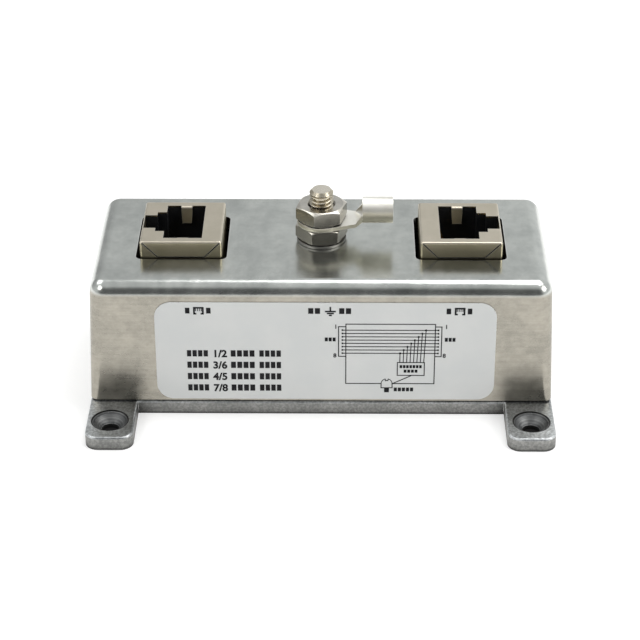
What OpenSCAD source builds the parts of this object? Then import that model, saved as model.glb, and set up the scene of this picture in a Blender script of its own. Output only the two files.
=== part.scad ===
// Ethernet surge protector: a cast case with two shielded jacks and a ground terminal on top.
// The origin is the centre of the base plate's underside, X runs along the length, the label faces -Y.

/* [Case] */
// Distance from each jack's centre to the end of the case
end_in = 15.9; // [15:0.1:24]
// Depth of the case at the seam, front to back
case_w = 34.6; // [34:0.2:44]
// Height of the case top above the underside of the base plate
case_h = 25.4; // [24:0.2:32]
// How far each wall leans in between the seam and the top
case_draft = 0.7; // [0.3:0.1:1.2]
// Thickness of the walls
wall_t = 2; // [1.5:0.1:2.2]
// Thickness of the roof
roof_t = 2; // [1.5:0.1:3]
// Radius of the upright outer corners at the top
corner_r = 2.7; // [2:0.1:3]
// Radius of the upright outer corners at the seam
foot_r = 1.4; // [1:0.1:2.4]
// Radius of the edges round the top
edge_r = 2.6; // [1:0.1:2.8]
// Height of the shadow gap between case and base plate
seam_h = 0.3; // [0.2:0.05:0.5]
// Depth of the shadow gap
seam_d = 0.8; // [0.4:0.1:1]

/* [Base plate] */
// Thickness of the base plate
plate_t = 2.5; // [2.2:0.1:4]
// Width of each mounting tab
tab_w = 8.2; // [7.6:0.2:12]
// How far each tab stands out in front of and behind the case
tab_l = 11.3; // [9:0.1:16]
// Radius of the tabs' outer corners
tab_r = 2.2; // [0.5:0.1:3]
// Radius of the plate's top edges
plate_edge_r = 0.35; // [0.1:0.05:0.6]
// Radius of the screw holes in the tabs
tab_hole_r = 1.55; // [1.2:0.05:2]
// Radius of the countersinks at the tab faces
sink_r = 3.1; // [2.4:0.1:3.4]
// Depth of the countersinks in the tabs
sink_d = 1.75; // [1:0.05:2]
// Distance from the case's end to the tab holes' centres
tab_hole_in = 3.95; // [3.5:0.05:6]
// Distance from the case wall to the tab holes' centres
tab_hole_out = 6; // [4.5:0.1:7]
// Height of the rim that locates the case on the plate
rim_h = 1.2; // [0.8:0.1:2]
// Thickness of that rim
rim_t = 1; // [0.8:0.1:1.5]

/* [Closing screws] */
// Radius of the corner posts inside the case
post_r = 3; // [2.6:0.1:3.2]
// Distance from the inner walls to the post centres
post_in = 2.3; // [2:0.1:2.8]
// Radius of the closing screws' shanks
close_r = 1.4; // [1.2:0.1:1.6]
// Radius of their countersunk heads
close_head_r = 2.7; // [2.4:0.1:3]
// Length of the closing screws, head included
close_l = 9; // [6:0.5:14]

/* [Jacks] */
// Distance between the centres of the two jacks
jack_pitch = 48.2; // [46:0.2:49]
// Distance from the plug opening to the shield's front and back faces
side_wall = 1.5; // [1.2:0.05:2]
// Height of a jack above the circuit board
jack_h = 16.3; // [15:0.1:18]
// How far the jacks stand out of the case top
jack_proud = 3.15; // [2:0.05:5]
// Thickness of the shield's sheet
sheet_t = 0.25; // [0.2:0.05:0.3]
// Outer radius of the shield's folds
fold_r = 0.4; // [0.3:0.05:0.6]
// Gap between shield and case at the jack's ends
cut_gap_x = 0.8; // [0.3:0.05:1.2]
// Gap between shield and case at the jack's front and back
cut_gap_y = 0.35; // [0.2:0.05:0.8]
// Corner radius of the openings in the roof
cut_r = 1.1; // [0.3:0.1:2]

/* [Plug opening] */
// Width of the plug opening, across the case
plug_w = 11.8; // [11.6:0.05:12.2]
// Height of the plug opening, along the case
plug_x = 6.7; // [6.6:0.05:7]
// Width of the latch's shoulder step
step_w = 6.9; // [6:0.1:7.2]
// Depth of the latch's shoulder step
step_x = 1.6; // [1.4:0.1:1.8]
// Depth of the latch slot beyond the step
slot_x = 2.1; // [1.8:0.1:2.4]
// Width of the latch slot
latch_w = 4.6; // [4:0.1:5]
// Distance from the shield's outer face to the opening on the contact side
contact_wall = 3.45; // [3.2:0.05:3.7]
// Depth of the plug cavity
socket_d = 13; // [12:0.1:14]
// Width of the grounding fingers that fold into the opening
finger_w = 1.9; // [1.5:0.1:3]
// Length of a finger below its bend
finger_l = 2.6; // [2:0.1:4]
// Lean of a finger into the opening
finger_lean = 14; // [5:1:20]
// Height of the folded flaps on the shield's front and back
flap_h = 2.8; // [2:0.1:3.2]
// Width of the open joint round a flap
flap_gap = 0.22; // [0.1:0.02:0.26]

/* [Jack contacts] */
// Number of contacts in a jack
contacts = 8; // [4:2:10]
// Distance from one contact to the next
contact_pitch = 1.02; // [1:0.01:1.1]
// Thickness of a contact wire
wire_t = 0.35; // [0.25:0.05:0.4]
// Length of the sprung part of a contact
wire_spring = 7.4; // [5:0.1:8]
// Lean of the sprung part into the cavity
wire_lean = 17; // [10:1:20]

/* [Circuit board] */
// Thickness of the circuit board
board_t = 1.6; // [1:0.1:2]
// Gap between the board's edge and the case's walls
board_gap = 0.8; // [0.4:0.1:1.5]
// Gap between a fixing boss and the nearest jack
boss_gap = 1.35; // [1:0.05:2]
// Distance from the inner wall to the fixing bosses' centres
boss_in = 4.1; // [3.6:0.1:4.4]
// Radius of the fixing bosses
boss_r = 2.3; // [2:0.1:2.4]
// Radius of the board screws' shanks
board_screw_r = 1; // [0.8:0.1:1.2]

/* [Surge parts] */
// Radius of a gas tube
tube_r = 2.4; // [2:0.1:2.5]
// Length of a gas tube
tube_l = 7.2; // [6:0.1:7.6]
// Gap between the gas tubes and what lies beside them
tube_gap = 0.6; // [0.3:0.1:1]
// Length of a clamp diode's body
diode_l = 4.2; // [3.6:0.1:4.4]
// Width of a clamp diode's body
diode_w = 3.4; // [2.8:0.1:3.6]
// Distance from one clamp diode to the next
diode_pitch = 4.6; // [4.2:0.1:5]
// Height of a clamp diode's body
diode_h = 2.2; // [1.8:0.1:2.6]
// Length of a line resistor
chip_l = 3.2; // [2:0.1:3.4]
// Width of a line resistor
chip_w = 1.6; // [1:0.1:1.8]
// Distance from one line resistor to the next
chip_pitch = 2.5; // [2.2:0.1:3]

/* [Ground terminal] */
// Radius of the ground stud
stud_r = 2.08; // [1.9:0.02:2.2]
// Width of the hexagons across their flats
hex_af = 7.94; // [7:0.02:8.2]
// Thickness of each nut
nut_h = 2.8; // [2.2:0.1:3.6]
// Thickness of the stud's head inside the case
stud_head_h = 2.6; // [2:0.1:3]
// How far the stud stands out of the upper nut
stud_free = 2.75; // [1.5:0.05:5]
// Depth of the countersinks round the nuts' threads
nut_sink = 0.35; // [0.2:0.05:0.5]
// Turn of the upper nut
upper_turn = 15; // [0:1:60]
// Turn of the lower nut
lower_turn = 9; // [0:1:60]
// Radius of the toothed washer on the case
washer_r = 4.3; // [4.2:0.05:5]
// Thickness of the toothed washer
washer_t = 0.5; // [0.4:0.05:0.8]
// Thickness of the ring terminal's sheet
ring_t = 0.75; // [0.6:0.05:1]
// Radius of the ring terminal's ring
ring_r = 4.25; // [4.1:0.05:5]
// Outer radius of the crimp barrel
barrel_r = 2.3; // [2.1:0.05:2.5]
// Radius of the crimp barrel's bore
barrel_bore_r = 1.65; // [1.2:0.05:1.7]
// Length of the crimp barrel
barrel_l = 5.3; // [4:0.1:8]
// Distance from the stud to the near end of the barrel
barrel_x = 7.1; // [6.6:0.1:9]
// Length over which the tongue curls up into the barrel
curl_l = 1.2; // [0.8:0.1:2]
// Thickness of the ground strap inside
strap_t = 0.8; // [0.5:0.1:1]
// Width of the ground strap
strap_w = 8; // [6:0.2:9]

/* [Label] */
// Length of the front label
label_l = 58.1; // [40:0.1:66]
// Height of the front label
label_h = 19; // [10:0.1:19.2]
// Corner radius of the front label
label_r = 2.9; // [0.5:0.1:3]
// Thickness of the front label
label_t = 0.2; // [0.1:0.05:0.4]
// Height of the label's lower edge above the seam
label_up = 0.9; // [0.5:0.1:1.2]
// How far the label lies right of the case's middle
label_dx = 0.8; // [-1:0.1:2]

/* [Hidden] */

$fn = 48;
// Facets of a corner inside a hull
hull_fn = 32;
// Running clearance between turned pieces, and slack between seated ones
fit = 0.05;
seat = 0.02;
// Extra reach of a cut past the face that it opens
past = 1;

jack_x = contact_wall + plug_x + step_x + slot_x + sheet_t;
jack_y = plug_w + 2 * side_wall;
case_l = jack_pitch + 2 * end_in;
roof_z = case_h - roof_t;
skirt_z = plate_t + seam_h;
jack_top = case_h + jack_proud;
board_top = jack_top - jack_h;
board_bottom = board_top - board_t;
in_l = case_l - 2 * wall_t;
in_w = case_w - 2 * wall_t;
in_r = max(corner_r - wall_t, 1.2);
top_edge_r = min(edge_r, corner_r - 0.1);
post_x = in_l / 2 - post_in;
post_y = in_w / 2 - post_in;
board_l = in_l - 2 * case_draft - 2 * board_gap;
board_w = in_w - 2 * case_draft - 2 * board_gap;
jack_inner = (jack_pitch - jack_x) / 2;
boss_x = jack_inner - boss_gap - boss_r;
boss_y = in_w / 2 - boss_in;

// The label's wall runs from the top of the shadow gap to the start of the top edge
lean = atan(case_draft / (case_h - top_edge_r - skirt_z));

// The plug opening's steps along X in a jack whose latch points to +X
plug_x0 = -jack_x / 2 + contact_wall;
plug_x1 = plug_x0 + plug_x;
plug_x2 = plug_x1 + step_x;
plug_x3 = jack_x / 2 - sheet_t;
finger_x = (plug_x0 + plug_x1) / 2;
shield_z0 = board_top + 0.1;
leg_x = 3.2;
leg_w = 1.5;
leg_hole_r = 0.95;
leg_out = 1;
peg_x = 3.4;
peg_y = 4.2;
peg_r = 1.5;
peg_out = 0.4;

wire_bend_r = 0.6;
wire_w = 0.4;
wire_rise_x = plug_x0 - 1.25;
wire_bend_z = jack_top - 2.5;
wire_slot_w = 0.62;
wire_room = 0.4;
wire_hole_r = 0.33;

boss_bore_depth = 5;
board_head_h = 1.5;
board_head_r = 2;

washer_z = case_h;
lower_nut_z = washer_z + washer_t;
ring_z = lower_nut_z + nut_h;
upper_nut_z = ring_z + ring_t;
stud_top = upper_nut_z + nut_h + stud_free;
stud_chamfer = 0.45;
hex_chamfer = 27;
hex_face = 0.95;
tooth_slots = 8;
tooth_slot_w = 0.7;
tooth_slot_l = 1.1;
barrel_z = ring_z + barrel_r;
curl_x = barrel_x - curl_l;
curl_w = barrel_r + 0.1;
curl_rim = 0.15;

strap_z = roof_z - strap_t;
strap_bend_r = 0.6;
strap_clear = 0.6;
strap_leg_x = hex_af / sqrt(3) + strap_clear + strap_t;
strap_foot = 5.6;
strap_end = strap_leg_x + strap_foot;
strap_hole_x = strap_end - 2;
strap_screw_r = 1.1;
strap_head_r = 1.9;
strap_head_h = 1.3;
strap_slot_w = 0.5;
strap_nut_af = 4.4;
strap_nut_h = 1.6;
strap_screw_out = 0.6;

// Gas tubes stand on the board beside the left bosses, the smaller parts hang under it
tube_near = boss_r - boss_x + tube_gap + tube_r;
tube_far = tube_near + 2 * tube_r + tube_gap;
tube_y = tube_l / 2 + tube_gap;
chip_x = 2;
chip_h = 0.5;
chip_end = 0.5;
diode_x = -5;

module at_corners(dx, dy)
  for (sx = [-1, 1], sy = [-1, 1])
    translate([sx * dx, sy * dy, 0]) children();

module at_jacks()
  for (side = [0, 1])
    mirror([side, 0, 0]) translate([jack_pitch / 2, 0, 0]) children();

// Flat outline with round corners
module round_rect(l, w, r) {
  square([l - 2 * r, w], center = true);
  square([l, w - 2 * r], center = true);
  at_corners(l / 2 - r, w / 2 - r) circle(r);
}

// Corner of radius r with its top edge rounded by e
module crowned_corner(r, e)
  rotate_extrude($fn = hull_fn) {
    square([r - e, e]);
    translate([r - e, 0]) intersection() {
      circle(e, $fn = hull_fn);
      square(e);
    }
  }

// Block from z0 to z1 with a rounded top edge and corners that grow from low_r at its foot to r
module crowned_block(l, w, low_r, r, e, z0, z1, draft = 0, foot = 0.1)
  hull() {
    at_corners(l / 2 - low_r, w / 2 - low_r) translate([0, 0, z0])
      cylinder(r = low_r, h = foot, $fn = hull_fn);
    at_corners(l / 2 - draft - r, w / 2 - draft - r) translate([0, 0, z1 - e]) crowned_corner(r, e);
  }

// Plate whose top edge is rounded by e, in steps of a quarter round
module eased_plate(l, w, r, t, e)
  hull() {
    linear_extrude(t - e) round_rect(l, w, r, $fn = hull_fn);
    for (a = [30:30:90])
      linear_extrude(t - e + e * sin(a))
        round_rect(l - 2 * e * (1 - cos(a)), w - 2 * e * (1 - cos(a)), r - e * (1 - cos(a)), $fn = hull_fn);
  }

// Hexagon with both ends chamfered, standing on z = 0 with a flat to the front
module hex_block(af, h) {
  hex_r = af / sqrt(3);
  face_r = af / 2 * hex_face;
  drop = (hex_r + fit - face_r) * tan(hex_chamfer);
  intersection() {
    cylinder(r = hex_r, h = h, $fn = 6);
    rotate_extrude() polygon([
      [0, 0], [face_r, 0], [hex_r + fit, drop], [hex_r + fit, h - drop], [face_r, h], [0, h]
    ]);
  }
}

module case_cavity()
  hull() {
    at_corners(in_l / 2 - in_r, in_w / 2 - in_r)
      translate([0, 0, plate_t - past]) cylinder(r = in_r, h = past + seam_h, $fn = hull_fn);
    at_corners(in_l / 2 - case_draft - in_r, in_w / 2 - case_draft - in_r)
      translate([0, 0, roof_z - 0.1]) cylinder(r = in_r, h = 0.1, $fn = hull_fn);
  }

module case_shell()
  color([0.68, 0.69, 0.67]) {
    difference() {
      union() {
        difference() {
          crowned_block(case_l, case_w, foot_r, corner_r, top_edge_r, plate_t, case_h, case_draft, seam_h);
          case_cavity();
        }
        at_corners(post_x, post_y) translate([0, 0, plate_t])
          cylinder(r = post_r, h = roof_z - plate_t + seat);
        at_corners(boss_x, boss_y) translate([0, 0, board_top])
          cylinder(r = boss_r, h = roof_z - board_top + seat);
      }
      // Shadow gap along the seam
      translate([0, 0, plate_t - past]) linear_extrude(past + seam_h) difference() {
        square([case_l + past, case_w + past], center = true);
        round_rect(case_l - 2 * seam_d, case_w - 2 * seam_d, max(foot_r - seam_d, fit));
      }
      at_jacks() translate([0, 0, roof_z - past]) linear_extrude(roof_t + 2 * past)
        round_rect(jack_x + 2 * cut_gap_x, jack_y + 2 * cut_gap_y, cut_r);
      translate([0, 0, roof_z - past]) cylinder(r = stud_r + 4 * fit, h = roof_t + 2 * past);
      at_corners(post_x, post_y) translate([0, 0, plate_t - past])
        cylinder(r = close_r + fit, h = close_l + past);
      at_corners(boss_x, boss_y) translate([0, 0, board_top - past])
        cylinder(r = board_screw_r + fit, h = boss_bore_depth + past);
    }
  }

module base_plate()
  color([0.6, 0.61, 0.59]) difference() {
    union() {
      for (side = [-1, 1]) translate([side * (case_l - tab_w) / 2, 0, 0])
        eased_plate(tab_w, case_w + 2 * tab_l, tab_r, plate_t, plate_edge_r);
      eased_plate(case_l - 2 * tab_w + 2 * past, case_w, past / 2, plate_t, plate_edge_r);
      translate([0, 0, plate_t - seat]) linear_extrude(rim_h + seat) difference() {
        round_rect(in_l - 4 * fit, in_w - 4 * fit, in_r);
        round_rect(in_l - 4 * fit - 2 * rim_t, in_w - 4 * fit - 2 * rim_t, in_r);
        at_corners(post_x, post_y) circle(post_r + 4 * fit);
      }
    }
    at_corners(case_l / 2 - tab_hole_in, case_w / 2 + tab_hole_out) {
      translate([0, 0, -past]) cylinder(r = tab_hole_r, h = plate_t + 2 * past);
      translate([0, 0, plate_t - sink_d]) cylinder(r1 = tab_hole_r, r2 = sink_r, h = sink_d);
    }
    at_corners(post_x, post_y) {
      translate([0, 0, -past]) cylinder(r = close_r + 4 * fit, h = plate_t + 2 * past);
      cylinder(r1 = close_head_r + 2 * fit, r2 = close_r + 4 * fit, h = close_head_r - close_r);
    }
  }

// Cross recess, cut upwards from z = 0
module cross_recess(reach, depth)
  for (turn = [0, 90])
    rotate([0, 0, turn]) translate([-reach, -reach / 5, -past])
      cube([2 * reach, reach * 2 / 5, depth + past]);

module closing_screws()
  color([0.75, 0.75, 0.73]) at_corners(post_x, post_y) difference() {
    translate([0, 0, fit]) union() {
      cylinder(r1 = close_head_r, r2 = close_r, h = close_head_r - close_r);
      cylinder(r = close_r, h = close_l - close_r / 2);
      translate([0, 0, close_l - close_r / 2]) cylinder(r1 = close_r, r2 = close_r / 2, h = close_r / 2);
    }
    cross_recess(close_head_r * 0.6, 1);
  }

module front_label()
  color([0.8, 0.82, 0.83])
    translate([label_dx, -case_w / 2, skirt_z]) rotate([90 - lean, 0, 0])
      translate([0, label_up - seam_h + label_h / 2, seat])
        linear_extrude(label_t) round_rect(label_l, label_h, label_r);

// Stepped outline of the plug opening, with the latch to +X
module plug_outline() {
  translate([plug_x0, -plug_w / 2]) square([plug_x, plug_w]);
  translate([plug_x0, -step_w / 2]) square([plug_x2 - plug_x0, step_w]);
  translate([plug_x0, -latch_w / 2]) square([plug_x3 - plug_x0, latch_w]);
}

// Side view of a grounding finger: Y runs up, X into the opening from its edge
module finger_profile() {
  bend = sheet_t;
  far = 4 * (bend + sheet_t);
  translate([-fold_r, -sheet_t]) square([fold_r, sheet_t]);
  translate([0, -sheet_t - bend]) {
    intersection() {
      difference() {
        circle(bend + sheet_t);
        circle(bend);
      }
      polygon([[0, 0], [0, far], [far, far], [far, far * tan(finger_lean)]]);
    }
    rotate(finger_lean) translate([bend, -finger_l]) square([sheet_t, finger_l]);
  }
}

// Finger that narrows to its tip, hanging from the opening's edge towards -Y
module ground_finger()
  intersection() {
    translate([-finger_w / 2, 0, jack_top]) rotate([90, 0, 90]) linear_extrude(finger_w)
      mirror([1, 0]) translate([-plug_w / 2, 0]) finger_profile();
    translate([0, jack_y, jack_top]) rotate([90, 0, 0]) linear_extrude(2 * jack_y)
      polygon([
        [-finger_w / 2, past], [finger_w / 2, past], [finger_w / 2, -1],
        [finger_w / 3, -2 * finger_l], [-finger_w / 3, -2 * finger_l], [-finger_w / 2, -1]
      ]);
  }

// Open joint round the folded flap, in the front view of a shield
module flap_joint() {
  half = jack_x / 2 - sheet_t;
  difference() {
    polygon([[-half, 0], [half, 0], [half - flap_h, -flap_h], [flap_h - half, -flap_h]]);
    polygon([
      [1.6 * flap_gap - half, past], [half - 1.6 * flap_gap, past], [half - 1.6 * flap_gap, 0],
      [half - flap_h, flap_gap - flap_h], [flap_h - half, flap_gap - flap_h], [1.6 * flap_gap - half, 0]
    ]);
  }
}

module jack_shield()
  color([0.75, 0.71, 0.63]) {
    difference() {
      crowned_block(jack_x, jack_y, fold_r, fold_r, fold_r, shield_z0, jack_top);
      crowned_block(jack_x - 2 * sheet_t, jack_y - 2 * sheet_t, fold_r - sheet_t, fold_r - sheet_t,
        fold_r - sheet_t, shield_z0 - past, jack_top - sheet_t);
      translate([0, 0, jack_top - past]) linear_extrude(2 * past) plug_outline();
      for (face = [0, 1]) mirror([0, face, 0])
        translate([0, sheet_t - jack_y / 2 + fit, jack_top - sheet_t]) rotate([90, 0, 0])
          linear_extrude(sheet_t + 2 * fit) flap_joint();
    }
    for (face = [0, 1]) mirror([0, face, 0]) translate([finger_x, 0, 0]) ground_finger();
    for (sx = [-1, 1], sy = [-1, 1])
      translate([sx * leg_x - leg_w / 2, sy * (jack_y - sheet_t) / 2 - sheet_t / 2, board_bottom - leg_out])
        cube([leg_w, sheet_t, shield_z0 - board_bottom + leg_out + seat]);
  }

module left_jack_shield() mirror([1, 0, 0]) translate([jack_pitch / 2, 0, 0]) jack_shield();
module right_jack_shield() translate([jack_pitch / 2, 0, 0]) jack_shield();

module at_contacts()
  for (i = [0:contacts - 1])
    translate([0, (i - (contacts - 1) / 2) * contact_pitch, 0]) children();

module jack_housing()
  color([0.07, 0.07, 0.08]) difference() {
    union() {
      translate([-jack_x / 2 + sheet_t + fit, -jack_y / 2 + sheet_t + fit, board_top])
        cube([jack_x - 2 * sheet_t - 2 * fit, jack_y - 2 * sheet_t - 2 * fit, jack_h - sheet_t - 3 * fit]);
      for (sy = [-1, 1]) translate([peg_x, sy * peg_y, board_bottom - peg_out])
        cylinder(r = peg_r, h = board_t + peg_out + seat);
    }
    translate([0, 0, jack_top - socket_d]) linear_extrude(socket_d + past) plug_outline();
    at_contacts() translate([wire_rise_x - wire_room, -wire_slot_w / 2, board_top - past])
      cube([plug_x0 - wire_rise_x + wire_room + seat, wire_slot_w,
        wire_bend_z + wire_bend_r + wire_room - board_top + past]);
  }

module left_jack_housing() mirror([1, 0, 0]) translate([jack_pitch / 2, 0, 0]) jack_housing();
module right_jack_housing() translate([jack_pitch / 2, 0, 0]) jack_housing();

// Side view of a contact: a riser, a bend over the top and the sprung leg
module wire_profile() {
  far = 3 * wire_bend_r;
  tail_z = board_bottom - leg_out;
  translate([wire_rise_x - wire_t / 2, tail_z]) square([wire_t, wire_bend_z - tail_z]);
  translate([wire_rise_x + wire_bend_r, wire_bend_z]) {
    difference() {
      circle(wire_bend_r + wire_t / 2);
      circle(wire_bend_r - wire_t / 2);
      polygon([[0, 0], [-far, 0], [-far, -far], [far, -far], [far, far * tan(wire_lean)]]);
    }
    rotate(wire_lean) translate([wire_bend_r - wire_t / 2, -wire_spring]) square([wire_t, wire_spring]);
  }
}

module jack_contacts()
  color([0.85, 0.68, 0.3]) at_contacts()
    translate([0, wire_w / 2, 0]) rotate([90, 0, 0]) linear_extrude(wire_w) wire_profile();

module left_jack_contacts() mirror([1, 0, 0]) translate([jack_pitch / 2, 0, 0]) jack_contacts();
module right_jack_contacts() translate([jack_pitch / 2, 0, 0]) jack_contacts();

module circuit_board()
  color([0.1, 0.35, 0.2]) translate([0, 0, board_bottom]) linear_extrude(board_t) difference() {
    round_rect(board_l, board_w, 1);
    at_corners(post_x, post_y) circle(post_r + board_gap);
    at_corners(boss_x, boss_y) circle(board_screw_r + 4 * fit);
    translate([strap_hole_x, 0]) circle(strap_screw_r + 2 * fit);
    for (side = [0, 1]) mirror([side, 0]) translate([jack_pitch / 2, 0]) {
      for (i = [0:contacts - 1])
        translate([wire_rise_x, (i - (contacts - 1) / 2) * contact_pitch]) circle(wire_hole_r);
      for (sy = [-1, 1]) translate([peg_x, sy * peg_y]) circle(peg_r + fit);
      for (sx = [-1, 1], sy = [-1, 1])
        translate([sx * leg_x, sy * (jack_y - sheet_t) / 2]) circle(leg_hole_r);
    }
  }

module board_screws()
  color([0.75, 0.75, 0.73]) at_corners(boss_x, boss_y) translate([0, 0, board_bottom - seat]) difference() {
    union() {
      translate([0, 0, -board_head_h]) cylinder(r = board_head_r, h = board_head_h);
      cylinder(r = board_screw_r, h = board_t + boss_bore_depth - 1);
    }
    translate([0, 0, -board_head_h]) cross_recess(board_head_r * 0.6, 0.8);
  }

// Three-electrode gas tube lying along Y, with its collars touching the board
module gas_tube(x, y) {
  collar = tube_l / 8;
  neck = tube_r - 0.15;
  color([0.8, 0.75, 0.7]) translate([x, y - tube_l / 2, board_top + tube_r + seat]) rotate([-90, 0, 0])
    rotate_extrude() polygon([
      [0, 0], [tube_r, 0], [tube_r, collar], [neck, collar],
      [neck, (tube_l - collar) / 2], [tube_r, (tube_l - collar) / 2],
      [tube_r, (tube_l + collar) / 2], [neck, (tube_l + collar) / 2],
      [neck, tube_l - collar], [tube_r, tube_l - collar], [tube_r, tube_l], [0, tube_l]
    ]);
}

module gas_tube_pair_1_2() gas_tube(tube_near, -tube_y);
module gas_tube_pair_3_6() gas_tube(tube_near, tube_y);
module gas_tube_pair_4_5() gas_tube(tube_far, -tube_y);
module gas_tube_pair_7_8() gas_tube(tube_far, tube_y);

// Places pieces under the board, upside down
module under_board(x, y) translate([x, y, board_bottom - seat]) mirror([0, 0, 1]) children();

// Moulded diode with tapered sides and a foil lead folded under each end
module clamp_diode(place) {
  half = diode_l / 2;
  lead_t = 0.2;
  lead_in = 1.1;
  taper = 0.3;
  color([0.12, 0.12, 0.12]) under_board(diode_x, (place - 1.5) * diode_pitch + diode_w / 2)
    rotate([90, 0, 0]) linear_extrude(diode_w) polygon([
      [taper - half, lead_t], [half - taper, lead_t], [half, diode_h / 2],
      [half - taper, diode_h], [taper - half, diode_h], [-half, diode_h / 2]
    ]);
  color([0.8, 0.8, 0.78]) for (end = [0, 1])
    under_board(diode_x, (place - 1.5) * diode_pitch) mirror([end, 0, 0])
      translate([half - lead_in, -diode_w / 4, 0]) {
        cube([lead_in + lead_t / 2, diode_w / 2, lead_t]);
        translate([lead_in - lead_t / 2, 0, 0]) cube([lead_t, diode_w / 2, diode_h / 2 + lead_t]);
      }
}

module clamp_diode_pair_1_2() clamp_diode(0);
module clamp_diode_pair_3_6() clamp_diode(1);
module clamp_diode_pair_4_5() clamp_diode(2);
module clamp_diode_pair_7_8() clamp_diode(3);

module line_resistors()
  color([0.16, 0.16, 0.17]) for (i = [0:contacts - 1])
    under_board(chip_x, (i - (contacts - 1) / 2) * chip_pitch) {
      translate([-chip_l / 2, -chip_w / 2, fit]) cube([chip_l, chip_w, chip_h - fit]);
      for (end = [0, 1]) mirror([end, 0, 0])
        translate([chip_l / 2 - chip_end, -chip_w / 2, 0]) cube([chip_end, chip_w, chip_h + fit]);
    }

// Quarter of a bend between two faces of the strap
module strap_bend()
  intersection() {
    difference() {
      circle(strap_bend_r + strap_t);
      circle(strap_bend_r);
    }
    square(strap_bend_r + strap_t);
  }

// Side view of the strap: a flange under the roof, a leg and a foot on the board
module strap_profile() {
  outer = strap_bend_r + strap_t;
  translate([-hex_af / 2 - strap_clear, strap_z])
    square([strap_leg_x - outer + hex_af / 2 + strap_clear, strap_t]);
  translate([strap_leg_x - outer, roof_z - outer]) strap_bend();
  translate([strap_leg_x - strap_t, board_top + outer]) square([strap_t, roof_z - board_top - 2 * outer]);
  translate([strap_leg_x + strap_bend_r, board_top + outer]) rotate(180) strap_bend();
  translate([strap_leg_x + strap_bend_r, board_top])
    square([strap_end - strap_leg_x - strap_bend_r, strap_t]);
}

module ground_strap()
  color([0.78, 0.66, 0.38]) difference() {
    translate([0, strap_w / 2, 0]) rotate([90, 0, 0]) linear_extrude(strap_w) strap_profile();
    translate([0, 0, strap_z - past]) cylinder(r = stud_r + 2 * fit, h = strap_t + 2 * past);
    translate([strap_hole_x, 0, board_top - past])
      cylinder(r = strap_screw_r + 2 * fit, h = strap_t + 2 * past);
  }

module strap_screw()
  color([0.75, 0.75, 0.73]) translate([strap_hole_x, 0, 0]) difference() {
    union() {
      translate([0, 0, board_top + strap_t + seat]) cylinder(r = strap_head_r, h = strap_head_h);
      translate([0, 0, board_bottom - strap_nut_h - strap_screw_out])
        cylinder(r = strap_screw_r, h = board_t + strap_t + strap_nut_h + strap_screw_out + 2 * fit);
    }
    translate([-2 * strap_head_r, -strap_slot_w / 2, board_top + strap_t + strap_head_h * 0.6])
      cube([4 * strap_head_r, strap_slot_w, strap_head_h]);
  }

module strap_nut()
  color([0.75, 0.75, 0.73]) translate([strap_hole_x, 0, board_bottom - strap_nut_h - seat]) difference() {
    hex_block(strap_nut_af, strap_nut_h);
    translate([0, 0, -past]) cylinder(r = strap_screw_r + fit, h = strap_nut_h + 2 * past);
  }

module ground_stud()
  color([0.78, 0.77, 0.72]) {
    translate([0, 0, strap_z - stud_head_h - seat]) hex_block(hex_af, stud_head_h);
    translate([0, 0, strap_z - stud_head_h / 2])
      cylinder(r = stud_r, h = stud_top - stud_chamfer - strap_z + stud_head_h / 2);
    translate([0, 0, stud_top - stud_chamfer])
      cylinder(r1 = stud_r, r2 = stud_r - stud_chamfer, h = stud_chamfer);
  }

module toothed_washer()
  color([0.72, 0.71, 0.67]) translate([0, 0, washer_z + seat]) linear_extrude(washer_t - 2 * seat)
    difference() {
      circle(washer_r);
      circle(stud_r + 3 * fit);
      for (i = [1:tooth_slots]) rotate(i * 360 / tooth_slots)
        translate([0, -tooth_slot_w / 2]) square([stud_r + tooth_slot_l, tooth_slot_w]);
    }

module hex_nut(turn)
  rotate([0, 0, turn]) difference() {
    hex_block(hex_af, nut_h);
    translate([0, 0, -past]) cylinder(r = stud_r + fit, h = nut_h + 2 * past);
    for (end = [0, 1]) translate([0, 0, end * nut_h]) mirror([0, 0, end])
      cylinder(r1 = stud_r + fit + nut_sink, r2 = stud_r + fit, h = nut_sink);
  }

module lower_nut() color([0.7, 0.69, 0.65]) translate([0, 0, lower_nut_z]) hex_nut(lower_turn);
module upper_nut() color([0.7, 0.69, 0.65]) translate([0, 0, upper_nut_z]) hex_nut(upper_turn);

// Tongue that rises from the flat sheet and curls up round the foot of the barrel
module curled_tongue() {
  sheet_top = ring_z + ring_t - seat;
  rise = atan((barrel_r + curl_rim - ring_t) / curl_l);
  difference() {
    hull() {
      translate([curl_x - seat, -curl_w, ring_z + seat]) cube([seat, 2 * curl_w, ring_t - 2 * seat]);
      translate([barrel_x, 0, barrel_z + seat]) rotate([0, 90, 0])
        cylinder(r = barrel_r - curl_rim, h = curl_rim);
    }
    hull() {
      translate([curl_x - 2 * seat, -curl_w, sheet_top]) cube([seat, 2 * curl_w, barrel_r]);
      translate([barrel_x - seat, 0, barrel_z + seat]) rotate([0, 90, 0])
        cylinder(r = barrel_bore_r + fit, h = seat);
    }
    translate([curl_x, 0, sheet_top]) rotate([0, -rise, 0]) translate([-past, -2 * barrel_r, 0])
      cube([3 * barrel_r, 4 * barrel_r, 3 * barrel_r]);
  }
}

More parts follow.
